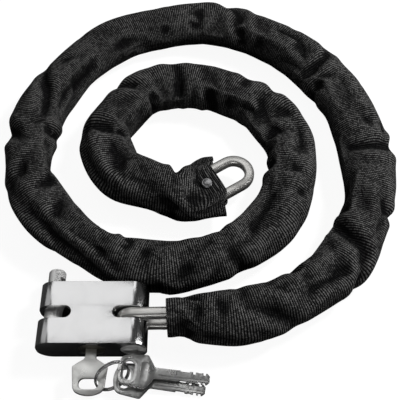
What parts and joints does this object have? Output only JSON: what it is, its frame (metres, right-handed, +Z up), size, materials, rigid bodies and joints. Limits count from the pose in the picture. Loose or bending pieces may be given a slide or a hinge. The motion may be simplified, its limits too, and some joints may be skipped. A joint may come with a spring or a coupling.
{
  "type": "chain lock",
  "caption": "Rounded block padlock with a sliding bolt, key cylinder and spare keys, joined to a long-link steel chain in a black woven sleeve, laid in a coil.",
  "frame": {"origin": "centre of the padlock body's flat back face, which rests on the table", "axes": "+Z up out of the lock's front face; +X towards the side slot that holds the chain; +Y towards the end where the bolt stands proud"},
  "size_m": [0.2485, 0.2928, 0.026],
  "materials": {
    "chromed_steel": "satin-bright chrome plate",
    "staked_steel": "rough staked face with a bright rim",
    "brass": "machined",
    "zinc_steel": "zinc plated",
    "spring_steel": "drawn wire",
    "nickel_key": "nickel plate, lightly worn",
    "ring_steel": "nickel-plated wire",
    "chain_steel": "zinc plated, slightly warm",
    "rivet_steel": "dark domed head with a bright rim",
    "sleeve_nylon": "black ribbed nylon webbing with grey flecks"
  },
  "bodies": {
    "lock": {"lock_body": "chromed_steel", "cylinder_shell": "brass", "cylinder_retaining_pin": "zinc_steel", "fixed_pin": "chromed_steel", "pin_plug": "staked_steel", "bolt_spring": "spring_steel"},
    "bolt": {"locking_bolt": "chromed_steel"},
    "plug": {"cylinder_plug": "brass", "wafer_1": "brass", "wafer_2": "brass", "wafer_3": "brass", "cylinder_cam": "zinc_steel"},
    "latch": {"latch": "zinc_steel"},
    "key": {"key_in_lock": "nickel_key"},
    "ring": {"key_ring": "ring_steel"},
    "spare_a": {"spare_key_a": "nickel_key"},
    "spare_b": {"spare_key_b": "nickel_key"},
    "chain_01": {"link_01": "chain_steel"},
    "chain_02": {"link_02": "chain_steel", "sleeve_01": "sleeve_nylon"},
    "chain_03": {"link_03": "chain_steel"},
    "chain_04": {"link_04": "chain_steel", "sleeve_02": "sleeve_nylon"},
    "chain_05": {"link_05": "chain_steel"},
    "chain_06": {"link_06": "chain_steel", "sleeve_03": "sleeve_nylon"},
    "chain_07": {"link_07": "chain_steel"},
    "chain_08": {"link_08": "chain_steel", "sleeve_04": "sleeve_nylon"},
    "chain_09": {"link_09": "chain_steel"},
    "chain_10": {"link_10": "chain_steel", "sleeve_05": "sleeve_nylon"},
    "chain_11": {"link_11": "chain_steel"},
    "chain_12": {"link_12": "chain_steel", "sleeve_06": "sleeve_nylon"},
    "chain_13": {"link_13": "chain_steel"},
    "chain_14": {"link_14": "chain_steel", "sleeve_07": "sleeve_nylon"},
    "chain_15": {"link_15": "chain_steel"},
    "chain_16": {"link_16": "chain_steel", "sleeve_08": "sleeve_nylon"},
    "chain_17": {"link_17": "chain_steel"},
    "chain_18": {"link_18": "chain_steel", "sleeve_09": "sleeve_nylon"},
    "chain_19": {"link_19": "chain_steel"},
    "chain_20": {"link_20": "chain_steel", "sleeve_10": "sleeve_nylon"},
    "chain_21": {"link_21": "chain_steel"},
    "chain_22": {"link_22": "chain_steel", "sleeve_11": "sleeve_nylon"},
    "chain_23": {"link_23": "chain_steel"},
    "chain_24": {"link_24": "chain_steel", "sleeve_12": "sleeve_nylon"},
    "chain_25": {"link_25": "chain_steel"},
    "chain_26": {"link_26": "chain_steel", "sleeve_13": "sleeve_nylon"},
    "chain_27": {"link_27": "chain_steel"},
    "chain_28": {"link_28": "chain_steel", "sleeve_14": "sleeve_nylon", "sleeve_rivet": "rivet_steel"}
  },
  "joints": [
    {"name": "bolt_slide", "type": "slide", "parent": "lock", "child": "bolt", "axis": [0, 1, 0], "range_m": [-0.012, 0.0078]},
    {"name": "plug_turn", "type": "hinge", "parent": "lock", "child": "plug", "pos_m": [0, 0, 0.011], "axis": [0, 1, 0], "range_deg": [-90, 0]},
    {"name": "latch_slide", "type": "slide", "parent": "lock", "child": "latch", "axis": [-1, 0, 0], "range_m": [0, 0.0025]},
    {"name": "key_withdraw", "type": "slide", "parent": "plug", "child": "key", "axis": [0, -1, 0], "range_m": [0, 0.03]},
    {"name": "ring_swing", "type": "hinge", "parent": "key", "child": "ring", "pos_m": [0.004, -0.0373, 0.0105], "axis": [0, 0, 1], "range_deg": [-12, 0]},
    {"name": "spare_a_swing", "type": "hinge", "parent": "ring", "child": "spare_a", "pos_m": [0.0213, -0.0294, 0.0088], "axis": [0, 0, 1], "range_deg": [-12, 3]},
    {"name": "spare_b_swing", "type": "hinge", "parent": "ring", "child": "spare_b", "pos_m": [0.0189, -0.0326, 0.0037], "axis": [0, 0, 1], "range_deg": [-10, 10]},
    {"name": "chain_swing", "type": "hinge", "parent": "lock", "child": "chain_01", "pos_m": [0.0232, 0, 0.011], "axis": [0, -1, 0], "range_deg": [-75, 75]},
    {"name": "hinge_01", "type": "hinge", "parent": "chain_01", "child": "chain_02", "pos_m": [0.0628, 0, 0.013], "axis": [0, 0, -1], "range_deg": [0, 8]},
    {"name": "uncoil", "type": "hinge", "parent": "chain_02", "child": "chain_03", "pos_m": [0.0935, 0.00431, 0.013], "axis": [0, 0, -1], "range_deg": [0, 21]},
    {"name": "hinge_03", "type": "hinge", "parent": "chain_03", "child": "chain_04", "pos_m": [0.13461, 0.0271, 0.013], "axis": [0, 0, -1], "range_deg": [0, 25]},
    {"name": "hinge_04", "type": "hinge", "parent": "chain_04", "child": "chain_05", "pos_m": [0.15283, 0.05218, 0.013], "axis": [0, 0, -1], "range_deg": [0, 21]},
    {"name": "hinge_05", "type": "hinge", "parent": "chain_05", "child": "chain_06", "pos_m": [0.16499, 0.09758, 0.013], "axis": [0, 0, -1], "range_deg": [0, 19]},
    {"name": "hinge_06", "type": "hinge", "parent": "chain_06", "child": "chain_07", "pos_m": [0.16283, 0.1285, 0.013], "axis": [0, 0, -1], "range_deg": [0, 16]},
    {"name": "hinge_07", "type": "hinge", "parent": "chain_07", "child": "chain_08", "pos_m": [0.14675, 0.17267, 0.013], "axis": [0, 0, -1], "range_deg": [0, 17]},
    {"name": "hinge_08", "type": "hinge", "parent": "chain_08", "child": "chain_09", "pos_m": [0.1281, 0.19743, 0.013], "axis": [0, 0, -1], "range_deg": [0, 19]},
    {"name": "hinge_09", "type": "hinge", "parent": "chain_09", "child": "chain_10", "pos_m": [0.08913, 0.22371, 0.013], "axis": [0, 0, -1], "range_deg": [0, 22]},
    {"name": "hinge_10", "type": "hinge", "parent": "chain_10", "child": "chain_11", "pos_m": [0.05881, 0.23015, 0.013], "axis": [0, 0, -1], "range_deg": [0, 25]},
    {"name": "hinge_11", "type": "hinge", "parent": "chain_11", "child": "chain_12", "pos_m": [0.01302, 0.21958, 0.013], "axis": [0, 0, -1], "range_deg": [0, 23]},
    {"name": "hinge_12", "type": "hinge", "parent": "chain_12", "child": "chain_13", "pos_m": [-0.01206, 0.20136, 0.013], "axis": [0, 0, -1], "range_deg": [0, 19]},
    {"name": "hinge_13", "type": "hinge", "parent": "chain_13", "child": "chain_14", "pos_m": [-0.03902, 0.16286, 0.013], "axis": [0, 0, -1], "range_deg": [0, 19]},
    {"name": "hinge_14", "type": "hinge", "parent": "chain_14", "child": "chain_15", "pos_m": [-0.04757, 0.13306, 0.013], "axis": [0, 0, -1], "range_deg": [0, 24]},
    {"name": "hinge_15", "type": "hinge", "parent": "chain_15", "child": "chain_16", "pos_m": [-0.04103, 0.08652, 0.013], "axis": [0, 0, -1], "range_deg": [0, 27]},
    {"name": "hinge_16", "type": "hinge", "parent": "chain_16", "child": "chain_17", "pos_m": [-0.02324, 0.06112, 0.013], "axis": [0, 0, -1], "range_deg": [0, 24]},
    {"name": "hinge_17", "type": "hinge", "parent": "chain_17", "child": "chain_18", "pos_m": [0.01704, 0.03692, 0.013], "axis": [0, 0, -1], "range_deg": [0, 25]},
    {"name": "hinge_18", "type": "hinge", "parent": "chain_18", "child": "chain_19", "pos_m": [0.04787, 0.03368, 0.013], "axis": [0, 0, -1], "range_deg": [0, 29]},
    {"name": "hinge_19", "type": "hinge", "parent": "chain_19", "child": "chain_20", "pos_m": [0.09113, 0.05204, 0.013], "axis": [0, 0, -1], "range_deg": [0, 29]},
    {"name": "hinge_20", "type": "hinge", "parent": "chain_20", "child": "chain_21", "pos_m": [0.11022, 0.07647, 0.013], "axis": [0, 0, -1], "range_deg": [0, 31]},
    {"name": "hinge_21", "type": "hinge", "parent": "chain_21", "child": "chain_22", "pos_m": [0.11595, 0.12312, 0.013], "axis": [0, 0, -1], "range_deg": [0, 38]},
    {"name": "hinge_22", "type": "hinge", "parent": "chain_22", "child": "chain_23", "pos_m": [0.09998, 0.14969, 0.013], "axis": [0, 0, -1], "range_deg": [0, 33]},
    {"name": "hinge_23", "type": "hinge", "parent": "chain_23", "child": "chain_24", "pos_m": [0.05774, 0.1703, 0.013], "axis": [0, 0, -1], "range_deg": [0, 35]},
    {"name": "hinge_24", "type": "hinge", "parent": "chain_24", "child": "chain_25", "pos_m": [0.02712, 0.16545, 0.013], "axis": [0, 0, -1], "range_deg": [0, 47]},
    {"name": "hinge_25", "type": "hinge", "parent": "chain_25", "child": "chain_26", "pos_m": [0.00084, 0.12648, 0.013], "axis": [0, 0, -1], "range_deg": [0, 55]},
    {"name": "hinge_26", "type": "hinge", "parent": "chain_26", "child": "chain_27", "pos_m": [0.01195, 0.09754, 0.013], "axis": [0, 0, -1], "range_deg": [0, 49]},
    {"name": "hinge_27", "type": "hinge", "parent": "chain_27", "child": "chain_28", "pos_m": [0.05611, 0.08146, 0.013], "axis": [0, 0, -1], "range_deg": [0, 53]}
  ],
  "couplings": [
    {"joint": "latch_slide", "follows": "plug_turn", "m_per_rad": -0.00159},
    {"joint": "hinge_01", "follows": "uncoil", "ratio": 0.3809},
    {"joint": "hinge_03", "follows": "uncoil", "ratio": 1.1904},
    {"joint": "hinge_04", "follows": "uncoil", "ratio": 1},
    {"joint": "hinge_05", "follows": "uncoil", "ratio": 0.9047},
    {"joint": "hinge_06", "follows": "uncoil", "ratio": 0.7619},
    {"joint": "hinge_07", "follows": "uncoil", "ratio": 0.8095},
    {"joint": "hinge_08", "follows": "uncoil", "ratio": 0.9047},
    {"joint": "hinge_09", "follows": "uncoil", "ratio": 1.0476},
    {"joint": "hinge_10", "follows": "uncoil", "ratio": 1.1904},
    {"joint": "hinge_11", "follows": "uncoil", "ratio": 1.0952},
    {"joint": "hinge_12", "follows": "uncoil", "ratio": 0.9047},
    {"joint": "hinge_13", "follows": "uncoil", "ratio": 0.9047},
    {"joint": "hinge_14", "follows": "uncoil", "ratio": 1.1428},
    {"joint": "hinge_15", "follows": "uncoil", "ratio": 1.2857},
    {"joint": "hinge_16", "follows": "uncoil", "ratio": 1.1428},
    {"joint": "hinge_17", "follows": "uncoil", "ratio": 1.1904},
    {"joint": "hinge_18", "follows": "uncoil", "ratio": 1.3809},
    {"joint": "hinge_19", "follows": "uncoil", "ratio": 1.3809},
    {"joint": "hinge_20", "follows": "uncoil", "ratio": 1.4761},
    {"joint": "hinge_21", "follows": "uncoil", "ratio": 1.8095},
    {"joint": "hinge_22", "follows": "uncoil", "ratio": 1.5714},
    {"joint": "hinge_23", "follows": "uncoil", "ratio": 1.6666},
    {"joint": "hinge_24", "follows": "uncoil", "ratio": 2.238},
    {"joint": "hinge_25", "follows": "uncoil", "ratio": 2.619},
    {"joint": "hinge_26", "follows": "uncoil", "ratio": 2.3333},
    {"joint": "hinge_27", "follows": "uncoil", "ratio": 2.5238}
  ]
}
